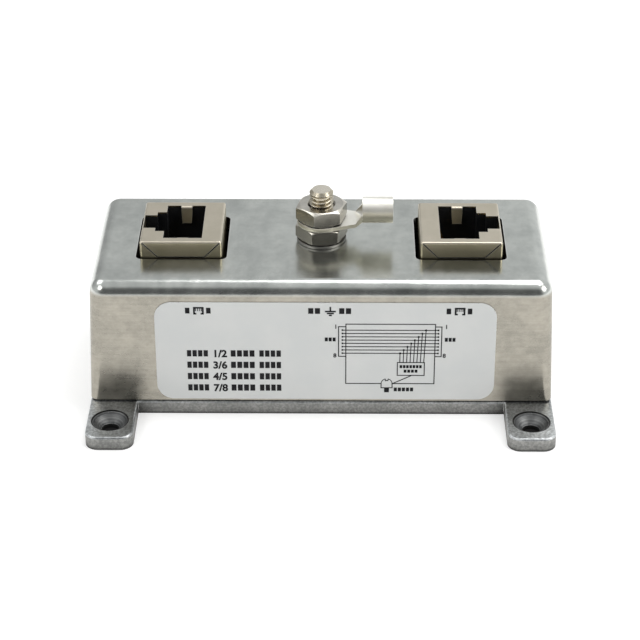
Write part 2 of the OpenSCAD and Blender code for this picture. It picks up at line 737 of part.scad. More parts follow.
module ring_terminal()
  color([0.82, 0.82, 0.8]) difference() {
    union() {
      translate([0, 0, ring_z + seat]) linear_extrude(ring_t - 2 * seat) {
        circle(ring_r);
        polygon([
          [ring_r / 2, ring_r * sqrt(3) / 2], [curl_x, curl_w],
          [curl_x, -curl_w], [ring_r / 2, -ring_r * sqrt(3) / 2]
        ]);
      }
      curled_tongue();
      translate([barrel_x, 0, barrel_z + seat]) rotate([0, 90, 0]) cylinder(r = barrel_r, h = barrel_l);
    }
    translate([0, 0, ring_z - past]) cylinder(r = stud_r + 2 * fit, h = ring_t + 2 * past);
    translate([barrel_x - seat, 0, barrel_z + seat]) rotate([0, 90, 0])
      cylinder(r = barrel_bore_r, h = barrel_l + past);
  }

case_shell();
base_plate();
closing_screws();
front_label();
left_jack_shield();
right_jack_shield();
left_jack_housing();
right_jack_housing();
left_jack_contacts();
right_jack_contacts();
circuit_board();
board_screws();
gas_tube_pair_1_2();
gas_tube_pair_3_6();
gas_tube_pair_4_5();
gas_tube_pair_7_8();
clamp_diode_pair_1_2();
clamp_diode_pair_3_6();
clamp_diode_pair_4_5();
clamp_diode_pair_7_8();
line_resistors();
ground_strap();
strap_screw();
strap_nut();
ground_stud();
toothed_washer();
lower_nut();
ring_terminal();
upper_nut();
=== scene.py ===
"""Looks of a network surge protector: bare cast box, nickel jacks, ground terminal and printed label."""

import math

import bpy
from mathutils import Matrix, Vector


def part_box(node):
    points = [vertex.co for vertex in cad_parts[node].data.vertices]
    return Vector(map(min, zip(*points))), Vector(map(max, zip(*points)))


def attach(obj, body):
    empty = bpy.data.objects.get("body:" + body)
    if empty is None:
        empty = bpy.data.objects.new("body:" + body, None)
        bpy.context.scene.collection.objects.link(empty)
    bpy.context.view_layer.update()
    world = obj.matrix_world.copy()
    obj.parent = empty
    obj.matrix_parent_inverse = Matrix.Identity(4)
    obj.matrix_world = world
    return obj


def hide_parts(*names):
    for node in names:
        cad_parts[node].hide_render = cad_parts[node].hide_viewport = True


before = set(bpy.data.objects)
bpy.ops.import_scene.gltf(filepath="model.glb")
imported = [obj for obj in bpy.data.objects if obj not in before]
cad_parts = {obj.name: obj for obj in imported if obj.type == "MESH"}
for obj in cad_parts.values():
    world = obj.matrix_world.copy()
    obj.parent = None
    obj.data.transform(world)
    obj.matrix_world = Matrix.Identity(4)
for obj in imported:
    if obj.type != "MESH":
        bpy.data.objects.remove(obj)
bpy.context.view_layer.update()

MM = 0.001

# Sizes of the real pieces, in metres
STUD_RADIUS = 2.08 * MM
THREAD_PITCH = 0.794 * MM
THREAD_DEPTH = 0.45 * MM
NUT_FLATS = 7.94 * MM
UPPER_NUT_TURN = math.radians(15)
LOWER_NUT_TURN = math.radians(9)
NUT_CHAMFER = math.radians(27)
WALL_DRAFT = 0.7 / 20
LABEL_LEAN = math.atan(WALL_DRAFT)
LABEL_FOOT = Vector((0.8, -17.3, 2.8)) * MM
LABEL_FACE = 0.22 * MM
LABEL_SLIP = -0.25 * MM
PLATE_TOP = 2.5 * MM
TAB_HOLE = (36.05 * MM, 23.3 * MM)
SINK_RADIUS = 3.1 * MM
SINK_STEP = 0.16 * MM
WIRE_PAIRS = ("1_2", "3_6", "4_5", "7_8")

# Light of the studio
SKY_STRENGTH = 0.63
FRONT_STRENGTH = 0.125
BACK_RIGHT_STRENGTH = 0.45
FLOOR_GLOW = 0.365
WARM_WHITE = (1, 0.98, 0.95)

# The photograph's camera: turn in degrees, place and lens in millimetres
CAMERA_PITCH, CAMERA_YAW, CAMERA_ROLL = 31.2333, -0.7462, -0.2002
CAMERA_PLACE = (3.6999, -308.8681, 195.8924)
CAMERA_LENS = 113.3089

# Fixed colours in the finishes; all but the sand grain are painted shade
SAND_SHADE = (0.08, 0.082, 0.085, 1)
ROUNDED_PAINTED_SHADE = (0.3, 0.31, 0.31, 1)
SINK_PAINTED_SHADES = ((0.09, 0.093, 0.095, 1), (0.24, 0.245, 0.245, 1))
SINK_RIM_PAINTED_SHADE = (0.05, 0.05, 0.05, 1)
FOOT_PAINTED_SHADE = (0.06, 0.06, 0.06, 1)
CASTING_CREVICE_SHADE = (0.035, 0.035, 0.033, 1)
PLATING_CREVICE_SHADE = (0.05, 0.045, 0.035, 1)


# Modelling

def clear_selection():
    """Leaves edit mode and selects nothing."""
    if bpy.context.object and bpy.context.object.mode != "OBJECT":
        bpy.ops.object.mode_set(mode="OBJECT")
    bpy.ops.object.select_all(action="DESELECT")


def take(piece):
    """Makes a piece the only selected and the active one."""
    clear_selection()
    piece.select_set(True)
    bpy.context.view_layer.objects.active = piece
    return piece


def edit(piece, mode="FACE"):
    """Opens a piece in edit mode with nothing selected."""
    take(piece)
    bpy.ops.object.mode_set(mode="EDIT")
    bpy.ops.mesh.select_mode(type=mode)
    bpy.ops.mesh.select_all(action="DESELECT")


def done():
    bpy.ops.object.mode_set(mode="OBJECT")


def name_piece(name):
    """Names the piece that was just added, and its mesh."""
    piece = bpy.context.object
    piece.name = name
    piece.data.name = name
    return piece


def apply_modifier(piece, kind, **settings):
    """Adds a modifier to a piece and applies it at once."""
    take(piece)
    made = piece.modifiers.new(kind.title(), kind)
    for key, value in settings.items():
        setattr(made, key, value)
    bpy.ops.object.modifier_apply(modifier=made.name)


def settle(piece):
    """Puts a piece's place, turn and size into its mesh."""
    take(piece)
    bpy.ops.object.transform_apply(location=True, rotation=True, scale=True)


def recalculate(piece):
    """Merges doubled points and turns all faces outwards."""
    edit(piece)
    bpy.ops.mesh.select_all(action="SELECT")
    bpy.ops.mesh.remove_doubles(threshold=1e-6)
    bpy.ops.mesh.normals_make_consistent(inside=False)
    done()


def smooth(piece, angle):
    """Shades a piece smooth across folds below an angle in degrees, with its flat faces kept flat."""
    take(piece)
    bpy.ops.object.shade_smooth_by_angle(angle=math.radians(angle))
    apply_modifier(piece, "WEIGHTED_NORMAL", keep_sharp=True, weight=80)


def soften_edges(piece, width, segments=2, angle=40):
    """Rounds the edges where a piece's faces meet at more than an angle in degrees."""
    apply_modifier(piece, "BEVEL", width=width, segments=segments, limit_method="ANGLE",
                   angle_limit=math.radians(angle))


def combine(piece, tool, operation):
    """Cuts, joins or intersects a piece with a tool piece, which is used up."""
    apply_modifier(piece, "BOOLEAN", operation=operation, solver="MANIFOLD", object=tool)
    bpy.data.objects.remove(tool)


def turned(name, stations, centre=(0, 0), segments=96):
    """Solid turned about a vertical axis: a disc extruded and resized through (radius, height) stations."""
    radius, height = stations[0]
    clear_selection()
    bpy.ops.mesh.primitive_circle_add(
        vertices=segments, radius=radius, fill_type="NGON", location=(*centre, height))
    piece = name_piece(name)
    settle(piece)
    edit(piece)
    bpy.ops.mesh.select_all(action="SELECT")
    for next_radius, next_height in stations[1:]:
        bpy.ops.mesh.extrude_region_move(TRANSFORM_OT_translate={"value": (0, 0, next_height - height)})
        share = next_radius / radius
        bpy.ops.transform.resize(value=(share, share, 1), center_override=(*centre, next_height))
        radius, height = next_radius, next_height
    done()
    recalculate(piece)
    return piece


def cad_copy(node, name, dissolve=True):
    """A merged copy of a CAD node's mesh, with flat areas made whole again."""
    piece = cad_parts[node].copy()
    piece.data = piece.data.copy()
    piece.name = name
    piece.data.name = name
    piece.parent = None
    for key in list(piece.keys()):
        del piece[key]
    bpy.context.scene.collection.objects.link(piece)
    edit(piece)
    bpy.ops.mesh.select_all(action="SELECT")
    bpy.ops.mesh.remove_doubles(threshold=1e-6)
    if dissolve:
        bpy.ops.mesh.dissolve_limited(angle_limit=math.radians(0.3))
    done()
    return piece


def finish_piece(piece, material, slot, *nodes):
    """Gives a piece its material, hangs it under the root and hides the CAD nodes it stands for; the slot is
    not used.
    """
    piece.data.materials.clear()
    piece.data.materials.append(material)
    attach(piece, "root")
    if nodes:
        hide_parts(*nodes)
    return piece


# Shader helpers

def put(tree, kind, settings=None, **sockets):
    """Adds a node. Each socket takes a value or another node's output."""
    made = tree.nodes.new("ShaderNode" + kind)
    for key, value in (settings or {}).items():
        setattr(made, key, value)
    for key, value in sockets.items():
        feed(tree, value, made.inputs[key.replace("_", " ")])
    return made


def feed(tree, value, socket):
    if isinstance(value, bpy.types.NodeSocket):
        tree.links.new(value, socket)
    else:
        socket.default_value = value


def calculate(tree, operation, first, second, clamp=False):
    made = tree.nodes.new("ShaderNodeMath")
    made.operation = operation
    made.use_clamp = clamp
    feed(tree, first, made.inputs[0])
    feed(tree, second, made.inputs[1])
    return made.outputs[0]


def multiply(tree, first, second, clamp=False):
    return calculate(tree, "MULTIPLY", first, second, clamp)


def add(tree, first, second, clamp=False):
    return calculate(tree, "ADD", first, second, clamp)


def remainder(tree, share):
    """What a share leaves of one."""
    return calculate(tree, "SUBTRACT", 1.0, share)


def swing(tree, noise, amount):
    """How far a noise is from its middle, times an amount."""
    return multiply(tree, calculate(tree, "SUBTRACT", noise, 0.5), amount)


def scaled(colour, share):
    return [channel * share for channel in colour[:3]] + [1]


def mix_colours(tree, share, first, second, blend="MIX"):
    made = tree.nodes.new("ShaderNodeMix")
    made.data_type = "RGBA"
    made.blend_type = blend
    feed(tree, share, made.inputs[0])
    feed(tree, first, made.inputs[6])
    feed(tree, second, made.inputs[7])
    return made.outputs[2]


def tinted(tree, share, colour, tint):
    """A colour multiplied by a tint, by a share of the surface."""
    return mix_colours(tree, share, colour, mix_colours(tree, 1.0, colour, tint, "MULTIPLY"))


def remap(tree, value, low, high, to_low=0.0, to_high=1.0):
    """A value eased from one range into another."""
    made = put(tree, "MapRange", {"interpolation_type": "SMOOTHSTEP"}, Value=value)
    for socket, number in zip(made.inputs[1:5], (low, high, to_low, to_high)):
        feed(tree, number, socket)
    return made.outputs[0]


def speckle(tree, place, scale, detail, roughness, stretch=(1, 1, 1)):
    """Noise on a place, stretched along its axes, from 0 to 1."""
    spread = put(tree, "Mapping", Vector=place, Scale=stretch)
    noise = put(tree, "TexNoise", Vector=spread.outputs[0], Scale=scale, Detail=detail, Roughness=roughness)
    return noise.outputs[0]


def new_group(name, inputs, outputs):
    """An empty shader group with (name, kind, default) inputs and (name, kind) outputs."""
    tree = bpy.data.node_groups.new(name, "ShaderNodeTree")
    for label, kind, default in inputs:
        socket = tree.interface.new_socket(name=label, in_out="INPUT", socket_type="NodeSocket" + kind)
        if default is not None:
            socket.default_value = default
    for label, kind in outputs:
        tree.interface.new_socket(name=label, in_out="OUTPUT", socket_type="NodeSocket" + kind)
    return tree, tree.nodes.new("NodeGroupInput"), tree.nodes.new("NodeGroupOutput")


def use_group(tree, group, **sockets):
    """Places a shared effect in a tree with its own values."""
    made = tree.nodes.new("ShaderNodeGroup")
    made.node_tree = group
    for key, value in sockets.items():
        feed(tree, value, made.inputs[key.replace("_", " ")])
    return made


def new_material(name):
    """A material with its Principled shader and the piece's own coordinates."""
    material = bpy.data.materials.new(name)
    material.use_nodes = True
    tree = material.node_tree
    shader = tree.nodes["Principled BSDF"]
    place = put(tree, "TexCoord").outputs["Object"]
    return material, tree, shader, place


# Shared effects

def make_edge_wear_and_highlight():
    """Mask of bright edges, partly wear and partly painted highlight: where a rounded normal parts from the
    face's own.
    """
    tree, given, result = new_group(
        "edge_wear_and_highlight",
        [("Radius", "Float", 0.0003), ("Place", "Vector", None), ("Patchiness", "Float", 0.5)],
        [("Mask", "Float")])
    rounded = put(tree, "Bevel", {"samples": 8}, Radius=given.outputs["Radius"])
    flat = put(tree, "NewGeometry")
    agreement = put(tree, "VectorMath", {"operation": "DOT_PRODUCT"})
    tree.links.new(rounded.outputs[0], agreement.inputs[0])
    tree.links.new(flat.outputs["Normal"], agreement.inputs[1])
    edge = remap(tree, agreement.outputs["Value"], 0.985, 0.85)
    patches = speckle(tree, given.outputs["Place"], 900, 4, 0.6)
    worn_and_highlight = remap(tree, patches, 0.3, 0.65)
    patchiness = given.outputs["Patchiness"]
    share = add(tree, remainder(tree, patchiness), multiply(tree, worn_and_highlight, patchiness))
    tree.links.new(multiply(tree, edge, share, True), result.inputs["Mask"])
    return tree


def make_crevice_shade():
    """Mask of painted shade in corners and joints, taken from ambient occlusion."""
    tree, given, result = new_group(
        "crevice_painted_shade",
        [("Distance", "Float", 0.001), ("Strength", "Float", 0.6), ("Start", "Float", 0.6)],
        [("Mask", "Float")])
    shade = put(tree, "AmbientOcclusion", {"samples": 8}, Distance=given.outputs["Distance"])
    dark = remap(tree, shade.outputs["AO"], given.outputs["Start"], 0.15)
    tree.links.new(multiply(tree, dark, given.outputs["Strength"], True), result.inputs["Mask"])
    return tree


def make_cast_skin():
    """Skin of a die casting: cloudy flow marks, blotches, fine pits and faint scratches along X."""
    tree, given, result = new_group(
        "cast_skin",
        [("Place", "Vector", None), ("Clouds", "Float", 0.5), ("Lines", "Float", 0.5)],
        [("Tone", "Float"), ("Height", "Float")])
    place = given.outputs["Place"]
    clouds = speckle(tree, place, 75, 5, 0.6, (1.2, 0.8, 1.2))
    blotches = speckle(tree, place, 420, 4, 0.65, (1, 0.8, 1.1))
    lines = speckle(tree, place, 300, 3, 0.7, (0.09, 3, 7))
    pits = speckle(tree, place, 2400, 2, 0.5)
    skin = add(tree, multiply(tree, clouds, 0.62), multiply(tree, blotches, 0.38))
    tone = add(tree, 0.5, swing(tree, skin, given.outputs["Clouds"]))
    tone = add(tree, tone, swing(tree, lines, given.outputs["Lines"]))
    tree.links.new(tone, result.inputs["Tone"])
    height = add(tree, multiply(tree, pits, 0.35), multiply(tree, lines, given.outputs["Lines"]))
    height = add(tree, height, multiply(tree, blotches, 0.8))
    tree.links.new(height, result.inputs["Height"])
    return tree


def make_facing():
    """Masks of the walls, undersides included, and of the edges that are rounded off above them."""
    tree, given, result = new_group(
        "facing", [("Softness", "Float", 0.5)], [("Upright", "Float"), ("Rounded", "Float")])
    turn = put(tree, "SeparateXYZ", Vector=put(tree, "NewGeometry").outputs["Normal"])
    level = turn.outputs["Z"]
    upright = remap(tree, level, given.outputs["Softness"], 0.08)
    tree.links.new(upright, result.inputs["Upright"])
    rounded = multiply(tree, remap(tree, level, 0.995, 0.9), remainder(tree, upright))
    tree.links.new(rounded, result.inputs["Rounded"])
    return tree


def make_turned_sinks():
    """Masks of the four countersinks in the tabs and of their rims, and the cutter's marks in them."""
    tree, given, result = new_group(
        "turned_sinks",
        [("Place", "Vector", None)],
        [("Mask", "Float"), ("Rim", "Float"), ("Marks", "Float")])
    mirrored = put(tree, "VectorMath", {"operation": "ABSOLUTE"}, Vector=given.outputs["Place"])
    flat = put(tree, "VectorMath", {"operation": "MULTIPLY"})
    tree.links.new(mirrored.outputs[0], flat.inputs[0])
    flat.inputs[1].default_value = (1, 1, 0)
    away = put(tree, "VectorMath", {"operation": "DISTANCE"})
    tree.links.new(flat.outputs[0], away.inputs[0])
    away.inputs[1].default_value = (*TAB_HOLE, 0)
    radius = away.outputs["Value"]
    ring = put(tree, "CombineXYZ", X=radius)
    marks = speckle(tree, ring.outputs[0], 3800, 2, 0.6)
    inside = remap(tree, radius, SINK_RADIUS * 1.07, SINK_RADIUS * 1.03)
    past_rim = remap(tree, radius, SINK_RADIUS * 0.94, SINK_RADIUS * 0.98)
    tree.links.new(inside, result.inputs["Mask"])
    tree.links.new(multiply(tree, past_rim, inside), result.inputs["Rim"])
    tree.links.new(marks, result.inputs["Marks"])
    return tree


FACING = make_facing()
TURNED_SINKS = make_turned_sinks()
EDGE_WEAR_AND_HIGHLIGHT = make_edge_wear_and_highlight()
CREVICE_SHADE = make_crevice_shade()
CAST_SKIN = make_cast_skin()


# Materials

def mottled_wall_shade(tree, place, wall_shade_tint):
    """The walls' painted shade and tint, a little darker and lighter in patches."""
    handled = remap(tree, speckle(tree, place, 700, 5, 0.75, (0.7, 1, 1)), 0.35, 0.65)
    return mix_colours(tree, handled, scaled(wall_shade_tint, 0.92), scaled(wall_shade_tint, 1.07))


def paint_sink_shade(tree, sinks, colour):
    """A colour darkened in the countersinks as painted shade carrying the cutter's marks, with painted shade
    on their rims.
    """
    shades = remap(tree, sinks.outputs["Marks"], 0.35, 0.65)
    colour = mix_colours(tree, sinks.outputs["Mask"], colour, mix_colours(tree, shades, *SINK_PAINTED_SHADES))
    return mix_colours(tree, sinks.outputs["Rim"], colour, SINK_RIM_PAINTED_SHADE)


def bare_casting(name, dark, light, worn_and_highlight, wall_shade_tint, roughness, clouds=1.3, wear_and_highlight_radius=0.0004, bump=0.04,
                 painted_shade=(0.0016, 0.9, 0.5), wear_and_highlight_from=0.0, grain=0.0, sinks=False):
    """Bare aluminium casting: cloudy skin, painted shade on walls and joints, edges lightened for wear and
    painted highlight.

    The joints' painted shade has a reach in metres, a strength and a start. Edges are lightened above the
    height wear_and_highlight_from.
    """
    material, tree, shader, place = new_material(name)
    facing = use_group(tree, FACING, Softness=0.34)
    upright, rounded = facing.outputs["Upright"], facing.outputs["Rounded"]
    scratches = multiply(tree, add(tree, upright, 0.25, True), 0.4)
    skin = use_group(tree, CAST_SKIN, Place=place, Clouds=clouds, Lines=scratches)
    height = skin.outputs["Height"]
    tone = remap(tree, skin.outputs["Tone"], 0.2, 0.8)
    # Walls and undersides darker and warmer: painted shade.
    colour = tinted(tree, upright, mix_colours(tree, tone, dark, light), mottled_wall_shade(tree, place, wall_shade_tint))
    sand = remap(tree, speckle(tree, place, 2300, 3, 0.6), 0.38, 0.62)
    colour = mix_colours(tree, multiply(tree, sand, grain), colour, SAND_SHADE)
    # Darker patches on the rounded edges that dim their highlight: painted shade.
    rounded_patches = remap(tree, speckle(tree, place, 130, 4, 0.6, (0.5, 1, 1)), 0.62, 0.38)
    colour = mix_colours(tree, multiply(tree, rounded_patches, multiply(tree, rounded, 0.25)), colour, ROUNDED_PAINTED_SHADE)
    level = put(tree, "SeparateXYZ", Vector=place).outputs["Z"]
    # Edges lightened: wear, and painted highlight.
    wear_and_highlight = use_group(tree, EDGE_WEAR_AND_HIGHLIGHT, Radius=wear_and_highlight_radius, Place=place, Patchiness=0.5)
    wear_and_highlight_share = multiply(tree, wear_and_highlight.outputs["Mask"], remap(tree, level, wear_and_highlight_from, wear_and_highlight_from + 0.001))
    sunk = 0.0
    if sinks:
        turned_sink = use_group(tree, TURNED_SINKS, Place=place)
        sunk = turned_sink.outputs["Mask"]
        # Countersinks darkened, with dark rims: painted shade.
        colour = paint_sink_shade(tree, turned_sink, colour)
        height = add(tree, height, multiply(tree, sunk, turned_sink.outputs["Marks"]))
        wear_and_highlight_share = multiply(tree, wear_and_highlight_share, remainder(tree, sunk))
        # The plate darker along its foot, where it meets the floor: painted shade.
        foot = multiply(tree, remap(tree, level, 0.0005, 0.0001), upright)
        colour = mix_colours(tree, multiply(tree, foot, 0.75), colour, FOOT_PAINTED_SHADE)
    # Painted shade in joints and corners, stronger on the walls.
    reach, strength, start = painted_shade
    crevice_shading = use_group(tree, CREVICE_SHADE, Distance=reach, Strength=strength, Start=start)
    shaded_share = multiply(tree, crevice_shading.outputs["Mask"], remap(tree, upright, 0, 1, 0.25, 1))
    colour = mix_colours(tree, shaded_share, colour, CASTING_CREVICE_SHADE)
    feed(tree, mix_colours(tree, wear_and_highlight_share, colour, worn_and_highlight), shader.inputs["Base Color"])
    rough = add(tree, roughness - 0.05, multiply(tree, tone, 0.1))
    for share, more in ((shaded_share, 0.25), (upright, 0.07), (sunk, 0.16)):
        rough = add(tree, rough, multiply(tree, share, more))
    feed(tree, rough, shader.inputs["Roughness"])
    dents = multiply(tree, speckle(tree, place, 230, 2, 0.5), rounded)
    height = add(tree, height, multiply(tree, dents, 5.0))
    raised = put(tree, "Bump", Strength=bump, Distance=0.0002, Height=height)
    feed(tree, raised.outputs[0], shader.inputs["Normal"])
    shader.inputs["Metallic"].default_value = 1.0
    return material


def plated_metal(name, colour, shade, roughness, brushing=(1, 1, 1), bump=0.03, wear_and_highlight=(0.95, 0.93, 0.88, 1),
                 wear_and_highlight_radius=0.00012, painted_shade=0.5, reach=0.0006, wall_shade_tint=(1, 1, 1, 1), chamfer_light_and_shade=(1, 1, 1, 1)):
    """Plated sheet or turned metal: fine brushing, faint tarnish, edges lightened for wear and painted
    highlight, painted shade in the joints.

    Walls have a tint of painted shade and chamfers a tint of painted light and shade; reach is the joints'
    painted shade's, in metres.
    """
    material, tree, shader, place = new_material(name)
    brushed = speckle(tree, place, 700, 4, 0.65, brushing)
    tarnish = speckle(tree, place, 220, 4, 0.6)
    tone = remap(tree, tarnish, 0.3, 0.7)
    base = mix_colours(tree, tone, colour, shade)
    base = mix_colours(tree, add(tree, 0.2, swing(tree, brushed, 0.5), True), base, shade)
    facing = use_group(tree, FACING)
    # Walls and undersides take their tint: painted shade.
    base = tinted(tree, facing.outputs["Upright"], base, wall_shade_tint)
    # Chamfers and rounded faces take their own tint: painted shade on the stud, painted highlight on the
    # nuts.
    base = tinted(tree, facing.outputs["Rounded"], base, chamfer_light_and_shade)
    # Painted shade in joints and corners.
    crevice_shading = use_group(tree, CREVICE_SHADE, Distance=reach, Strength=painted_shade)
    base = mix_colours(tree, crevice_shading.outputs["Mask"], base, PLATING_CREVICE_SHADE)
    # Edges lightened: wear, and painted highlight.
    edge = use_group(tree, EDGE_WEAR_AND_HIGHLIGHT, Radius=wear_and_highlight_radius, Place=place, Patchiness=0.35)
    base = mix_colours(tree, edge.outputs["Mask"], base, wear_and_highlight)
    feed(tree, base, shader.inputs["Base Color"])
    feed(tree, add(tree, roughness - 0.04, multiply(tree, brushed, 0.1)), shader.inputs["Roughness"])
    raised = put(tree, "Bump", Strength=bump, Distance=0.0001, Height=brushed)
    feed(tree, raised.outputs[0], shader.inputs["Normal"])
    shader.inputs["Metallic"].default_value = 1.0
    return material


def moulded(name, colour, light, roughness, scale=1800, bump=0.06, specular=0.5, edge_share=0.4):
    """Moulded or coated surface with a fine grain, edges lightened for wear and painted highlight, and slight
    variation in gloss.
    """
    material, tree, shader, place = new_material(name)
    grain = speckle(tree, place, scale, 3, 0.6)
    clouds = speckle(tree, place, 160, 3, 0.5)
    # Edges lightened: wear, and painted highlight.
    edge = use_group(tree, EDGE_WEAR_AND_HIGHLIGHT, Radius=0.0001, Place=place, Patchiness=0.7)
    base = mix_colours(tree, remap(tree, clouds, 0.3, 0.7), colour, light)
    pale = [min(1, channel * 1.8 + 0.02) for channel in light[:3]] + [1]
    base = mix_colours(tree, multiply(tree, edge.outputs["Mask"], edge_share), base, pale)
    feed(tree, base, shader.inputs["Base Color"])
    feed(tree, add(tree, roughness - 0.06, multiply(tree, clouds, 0.12)), shader.inputs["Roughness"])
    raised = put(tree, "Bump", Strength=bump, Distance=0.0001, Height=grain)
    feed(tree, raised.outputs[0], shader.inputs["Normal"])
    shader.inputs["Specular IOR Level"].default_value = specular
    return material


CASTING = bare_casting(
    "bare_cast_aluminium", dark=(0.49, 0.51, 0.49, 1), light=(0.71, 0.725, 0.695, 1),
    worn_and_highlight=(0.93, 0.93, 0.91, 1), wall_shade_tint=(0.57, 0.52, 0.466, 1), roughness=0.22, wear_and_highlight_from=0.0034)
PLATE_CASTING = bare_casting(
    "plate_cast_aluminium", dark=(0.5, 0.52, 0.525, 1), light=(0.78, 0.8, 0.81, 1),
    worn_and_highlight=(0.97, 0.97, 0.95, 1), wall_shade_tint=(0.48, 0.465, 0.44, 1), roughness=0.4, clouds=1.6,
    wear_and_highlight_radius=0.00035, bump=0.14, painted_shade=(0.004, 0.85, 0.82), grain=0.4, sinks=True)
NICKEL_SHEET = plated_metal(
    "nickel_sheet", (0.66, 0.60, 0.50, 1), (0.58, 0.53, 0.43, 1), 0.32, brushing=(6, 0.2, 1), painted_shade=0.95,
    wall_shade_tint=(0.71, 0.7, 0.6, 1))
# The stud's chamfer is darkened: painted shade.
TURNED_STEEL = plated_metal(
    "turned_nickel_steel", (0.86, 0.81, 0.72, 1), (0.74, 0.69, 0.59, 1), 0.26, brushing=(1, 1, 0.1),
    wall_shade_tint=(0.6, 0.57, 0.5, 1), chamfer_light_and_shade=(0.62, 0.6, 0.55, 1))
# The nuts' chamfers are lightened: painted highlight.
NUT_STEEL = plated_metal(
    "nut_steel", (0.68, 0.655, 0.6, 1), (0.5, 0.48, 0.44, 1), 0.24, brushing=(1, 1, 3),
    wear_and_highlight=(0.97, 0.96, 0.93, 1), wear_and_highlight_radius=0.0002, painted_shade=0.95, reach=0.0013, wall_shade_tint=(0.57, 0.56, 0.53, 1),
    chamfer_light_and_shade=(1.07, 1.06, 1.03, 1))
# Steel darkened for the washer under the lower nut: painted shade.
SHADED_WASHER_STEEL = plated_metal(
    "washer_steel_painted_shade", (0.36, 0.35, 0.33, 1), (0.24, 0.235, 0.22, 1), 0.38, wear_and_highlight=(0.6, 0.59, 0.56, 1), painted_shade=0.9)
TINNED_COPPER = plated_metal(
    "tinned_terminal", (0.97, 0.955, 0.91, 1), (0.82, 0.8, 0.73, 1), 0.44, brushing=(0.3, 1, 1), bump=0.1,
    painted_shade=0.9, reach=0.001, wall_shade_tint=(0.6, 0.58, 0.51, 1))
SCREW_STEEL = plated_metal("screw_steel", (0.6, 0.59, 0.56, 1), (0.5, 0.49, 0.46, 1), 0.3)
STRAP_BRASS = plated_metal("strap_brass", (0.72, 0.55, 0.25, 1), (0.6, 0.45, 0.2, 1), 0.32)
GOLD_WIRE = plated_metal("gold_wire", (0.95, 0.7, 0.25, 1), (0.85, 0.6, 0.2, 1), 0.2)
BLACK_PLASTIC = moulded(
    "black_plastic", (0.006, 0.0065, 0.008, 1), (0.012, 0.0125, 0.014, 1), 0.5, specular=0.3)
BOARD_GREEN = moulded("board_green", (0.01, 0.12, 0.04, 1), (0.02, 0.17, 0.06, 1), 0.35)
TUBE_CERAMIC = moulded("tube_ceramic", (0.6, 0.56, 0.5, 1), (0.7, 0.66, 0.6, 1), 0.3)
CHIP_BLACK = moulded("chip_black", (0.015, 0.015, 0.016, 1), (0.03, 0.03, 0.032, 1), 0.45)
# The label's cut edges lightened strongly: painted highlight and the film's pale edge.
LABEL_FILM = moulded(
    "label_film", (0.7, 0.716, 0.713, 1), (0.735, 0.745, 0.737, 1), 0.42, scale=900, bump=0.02,
    edge_share=0.95)
PRINT_INK = moulded(
    "print_ink", (0.012, 0.012, 0.014, 1), (0.02, 0.02, 0.022, 1), 0.6, scale=900, bump=0.02, specular=0.12)


# Case and plate

case = cad_copy("case_shell", "cast_case")
smooth(case, 34)
finish_piece(case, CASTING, "cast_aluminium", "case_shell")


def make_plate():
    """Base plate whose countersinks have a small step round the rim, as a piloted cutter leaves it."""
    plate = cad_copy("base_plate", "cast_plate")
    step_radius = SINK_RADIUS + 0.08 * MM
    for side in (-1, 1):
        for face in (-1, 1):
            step = turned(
                "sink_step", [(step_radius, PLATE_TOP - SINK_STEP), (step_radius, PLATE_TOP + 0.2 * MM)],
                centre=(side * TAB_HOLE[0], face * TAB_HOLE[1]))
            combine(plate, step, "DIFFERENCE")
    smooth(plate, 34)
    return finish_piece(plate, PLATE_CASTING, "plate_aluminium", "base_plate")


def make_label():
    """Film label with a soft cut edge, slipped down the wall to where the photograph shows it."""
    label = cad_copy("front_label", "film_label")
    edit(label)
    bpy.ops.mesh.select_all(action="SELECT")
    bpy.ops.transform.translate(value=(0, 0, LABEL_SLIP))
    done()
    soften_edges(label, 0.08 * MM)
    smooth(label, 40)
    return finish_piece(label, LABEL_FILM, "label_film", "front_label")


make_plate()
make_label()


# Carried-over nodes

def dress(material, *nodes):
    """Gives CAD nodes that stay their material."""
    for node in nodes:
        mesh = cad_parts[node].data
        if not mesh.materials:
            mesh.materials.append(None)
        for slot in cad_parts[node].material_slots:
            slot.material = material


dress(SCREW_STEEL, "closing_screws", "board_screws", "strap_screw", "strap_nut")
dress(GOLD_WIRE, "left_jack_contacts", "right_jack_contacts")
dress(BLACK_PLASTIC, "left_jack_housing", "right_jack_housing")
dress(BOARD_GREEN, "circuit_board")
dress(TUBE_CERAMIC, *(f"gas_tube_pair_{pair}" for pair in WIRE_PAIRS))
dress(CHIP_BLACK, "line_resistors", *(f"clamp_diode_pair_{pair}" for pair in WIRE_PAIRS))
dress(STRAP_BRASS, "ground_strap")


# Jack shields

for side in ("left", "right"):
    shield = cad_copy(f"{side}_jack_shield", f"{side}_shield")
    smooth(shield, 40)
    finish_piece(shield, NICKEL_SHEET, "shield_nickel", f"{side}_jack_shield")


# Ground terminal

